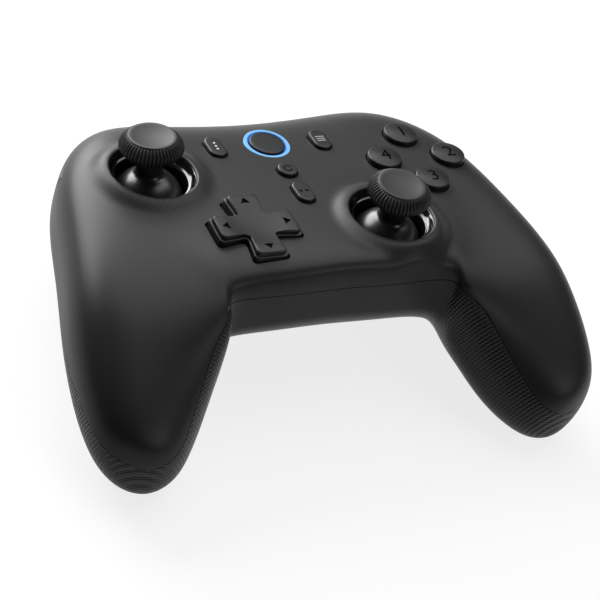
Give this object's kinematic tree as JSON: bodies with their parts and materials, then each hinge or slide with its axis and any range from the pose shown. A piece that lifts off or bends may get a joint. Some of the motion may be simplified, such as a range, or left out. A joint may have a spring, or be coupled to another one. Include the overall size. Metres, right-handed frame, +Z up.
{
  "type": "gamepad controller",
  "caption": "Two-handed gamepad with swept grips, offset thumb sticks, a cross pad, face buttons, shoulder bumpers and pull triggers, around a lit home button.",
  "frame": {"origin": "middle of the box that the gamepad fills, on the surface that its grips stand on", "axes": "+X to the player's right, +Y away from the player, +Z up through the face"},
  "size_m": [0.1572, 0.1203, 0.0599],
  "materials": {
    "shell": "fine moulded texture, charcoal",
    "satin": "satin black moulding",
    "gloss": "polished black moulding",
    "rubber": "matte black rubber",
    "steel": "bare steel",
    "brass": "plain brass",
    "board": "green coated board",
    "cell": "blue film sleeve",
    "light": "pale blue diffuser",
    "lamp": "clear white resin"
  },
  "bodies": {
    "housing": {"front_shell": "shell", "back_shell": "shell", "trigger_pins": "steel", "left_trigger_spring": "steel", "right_trigger_spring": "steel", "left_shoulder_bracket": "satin", "right_shoulder_bracket": "satin", "bumper_switches": "gloss", "usb_socket": "steel", "usb_tongue": "gloss", "main_board": "board", "board_screws": "steel", "case_screws": "steel", "battery_pack": "cell", "key_switches": "gloss", "status_leds": "lamp", "key_membrane": "rubber", "pad_membrane": "rubber", "light_ring": "light", "left_stick_module": "steel", "right_stick_module": "steel", "left_well_ring": "gloss", "right_well_ring": "gloss", "left_rumble_motor": "steel", "right_rumble_motor": "steel"},
    "face_button_top": {"face_button_top": "satin"},
    "face_button_right": {"face_button_right": "satin"},
    "face_button_bottom": {"face_button_bottom": "satin"},
    "face_button_left": {"face_button_left": "satin"},
    "home_button": {"home_button": "satin"},
    "view_button": {"view_button": "satin"},
    "menu_button": {"menu_button": "satin"},
    "round_button": {"round_button": "satin"},
    "share_button": {"share_button": "satin"},
    "pad_nub": {"pad_nub": "satin"},
    "cross_pad": {"cross_pad": "satin"},
    "left_gimbal": {"left_stick_gimbal": "brass"},
    "left_shaft": {"left_stick_shaft": "steel"},
    "left_stick": {"left_stick_post": "gloss", "left_stick_cap": "rubber"},
    "right_gimbal": {"right_stick_gimbal": "brass"},
    "right_shaft": {"right_stick_shaft": "steel"},
    "right_stick": {"right_stick_post": "gloss", "right_stick_cap": "rubber"},
    "right_bumper": {"right_bumper": "shell"},
    "right_trigger": {"right_trigger": "satin"},
    "right_rumble_weight": {"right_rumble_weight": "brass"},
    "left_bumper": {"left_bumper": "shell"},
    "left_trigger": {"left_trigger": "satin"},
    "left_rumble_weight": {"left_rumble_weight": "brass"}
  },
  "joints": [
    {"name": "face_button_top_press", "type": "slide", "parent": "housing", "child": "face_button_top", "axis": [0, -0.0698, -0.9976], "range_m": [0, 0.0013], "stiffness_N_per_m": 250},
    {"name": "face_button_right_press", "type": "slide", "parent": "housing", "child": "face_button_right", "axis": [0, -0.0698, -0.9976], "range_m": [0, 0.0013], "stiffness_N_per_m": 250},
    {"name": "face_button_bottom_press", "type": "slide", "parent": "housing", "child": "face_button_bottom", "axis": [0, -0.0698, -0.9976], "range_m": [0, 0.0013], "stiffness_N_per_m": 250},
    {"name": "face_button_left_press", "type": "slide", "parent": "housing", "child": "face_button_left", "axis": [0, -0.0698, -0.9976], "range_m": [0, 0.0013], "stiffness_N_per_m": 250},
    {"name": "home_press", "type": "slide", "parent": "housing", "child": "home_button", "axis": [0, -0.0698, -0.9976], "range_m": [0, 0.0005], "stiffness_N_per_m": 500},
    {"name": "view_press", "type": "slide", "parent": "housing", "child": "view_button", "axis": [0, -0.0698, -0.9976], "range_m": [0, 0.0006], "stiffness_N_per_m": 400},
    {"name": "menu_press", "type": "slide", "parent": "housing", "child": "menu_button", "axis": [0, -0.0698, -0.9976], "range_m": [0, 0.0006], "stiffness_N_per_m": 400},
    {"name": "round_press", "type": "slide", "parent": "housing", "child": "round_button", "axis": [0, -0.0698, -0.9976], "range_m": [0, 0.0006], "stiffness_N_per_m": 400},
    {"name": "share_press", "type": "slide", "parent": "housing", "child": "share_button", "axis": [0, -0.0698, -0.9976], "range_m": [0, 0.0006], "stiffness_N_per_m": 400},
    {"name": "pad_tilt_x", "type": "hinge", "parent": "housing", "child": "pad_nub", "pos_m": [-0.0213, -0.0075, 0.04335], "axis": [1, 0, 0], "range_deg": [-4, 4], "stiffness_Nm_per_rad": 0.03},
    {"name": "pad_tilt_y", "type": "hinge", "parent": "pad_nub", "child": "cross_pad", "pos_m": [-0.0213, -0.0075, 0.04335], "axis": [0, 1, 0], "range_deg": [-4, 4], "stiffness_Nm_per_rad": 0.03},
    {"name": "left_stick_x", "type": "hinge", "parent": "housing", "child": "left_gimbal", "pos_m": [-0.041, 0.01935, 0.03547], "axis": [1, 0, 0], "range_deg": [-13, 21], "stiffness_Nm_per_rad": 0.05},
    {"name": "left_stick_y", "type": "hinge", "parent": "left_gimbal", "child": "left_shaft", "pos_m": [-0.041, 0.01935, 0.03547], "axis": [0, 0.9903, -0.1392], "range_deg": [-12, 22], "stiffness_Nm_per_rad": 0.05},
    {"name": "left_stick_click", "type": "slide", "parent": "left_shaft", "child": "left_stick", "axis": [0.0872, -0.1386, -0.9865], "range_m": [0, 0.0006], "stiffness_N_per_m": 1500},
    {"name": "right_stick_x", "type": "hinge", "parent": "housing", "child": "right_gimbal", "pos_m": [0.0215, -0.00815, 0.03757], "axis": [1, 0, 0], "range_deg": [-20, 14], "stiffness_Nm_per_rad": 0.05},
    {"name": "right_stick_y", "type": "hinge", "parent": "right_gimbal", "child": "right_shaft", "pos_m": [0.0215, -0.00815, 0.03757], "axis": [0, 0.9998, -0.0175], "range_deg": [-16, 18], "stiffness_Nm_per_rad": 0.05},
    {"name": "right_stick_click", "type": "slide", "parent": "right_shaft", "child": "right_stick", "axis": [0.0175, -0.0175, -0.9997], "range_m": [0, 0.0006], "stiffness_N_per_m": 1500},
    {"name": "right_bumper_press", "type": "hinge", "parent": "housing", "child": "right_bumper", "pos_m": [0.0175, 0.044, 0.03035], "axis": [0, 0, -1], "range_deg": [0, 2.5], "stiffness_Nm_per_rad": 0.3},
    {"name": "right_trigger_pull", "type": "hinge", "parent": "housing", "child": "right_trigger", "pos_m": [0.03494, 0.04256, 0.0291], "axis": [-0.9227, 0.3854, 0], "range_deg": [0, 16], "stiffness_Nm_per_rad": 0.15},
    {"name": "right_rumble_spin", "type": "hinge", "parent": "housing", "child": "right_rumble_weight", "pos_m": [0.055, -0.0155, 0.0231], "axis": [1, 0, 0], "continuous": true},
    {"name": "left_bumper_press", "type": "hinge", "parent": "housing", "child": "left_bumper", "pos_m": [-0.0175, 0.044, 0.03035], "axis": [0, 0, 1], "range_deg": [0, 2.5], "stiffness_Nm_per_rad": 0.3},
    {"name": "left_trigger_pull", "type": "hinge", "parent": "housing", "child": "left_trigger", "pos_m": [-0.03494, 0.04256, 0.0291], "axis": [-0.9227, -0.3854, 0], "range_deg": [0, 16], "stiffness_Nm_per_rad": 0.15},
    {"name": "left_rumble_spin", "type": "hinge", "parent": "housing", "child": "left_rumble_weight", "pos_m": [-0.055, -0.0155, 0.0231], "axis": [1, 0, 0], "continuous": true}
  ]
}
